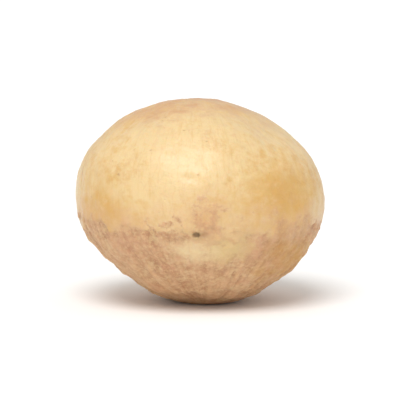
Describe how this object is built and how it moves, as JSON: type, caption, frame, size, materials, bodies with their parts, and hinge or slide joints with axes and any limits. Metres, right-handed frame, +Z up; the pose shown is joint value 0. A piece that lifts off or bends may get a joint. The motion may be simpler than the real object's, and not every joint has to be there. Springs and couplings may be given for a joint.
{
  "type": "macadamia kernel",
  "caption": "Whole roasted macadamia kernel, out of its shell: a smooth golden dome over a shorter, rougher tan cap, at rest on its small flat spot.",
  "frame": {"origin": "bottom centre of the kernel's box, on the surface that its flat spot rests on", "axes": "+Z up, away from the flat spot; +X to the right along the kernel's width, its longest extent; -Y towards the front, where the cap reaches highest and the small dimple is"},
  "size_m": [0.02, 0.0192, 0.0164],
  "materials": {
    "kernel_skin": "satin, lightly oiled, roasted golden cream on the dome and matte tan on the cap"
  },
  "bodies": {
    "root": {"kernel": "kernel_skin"}
  },
  "joints": []
}
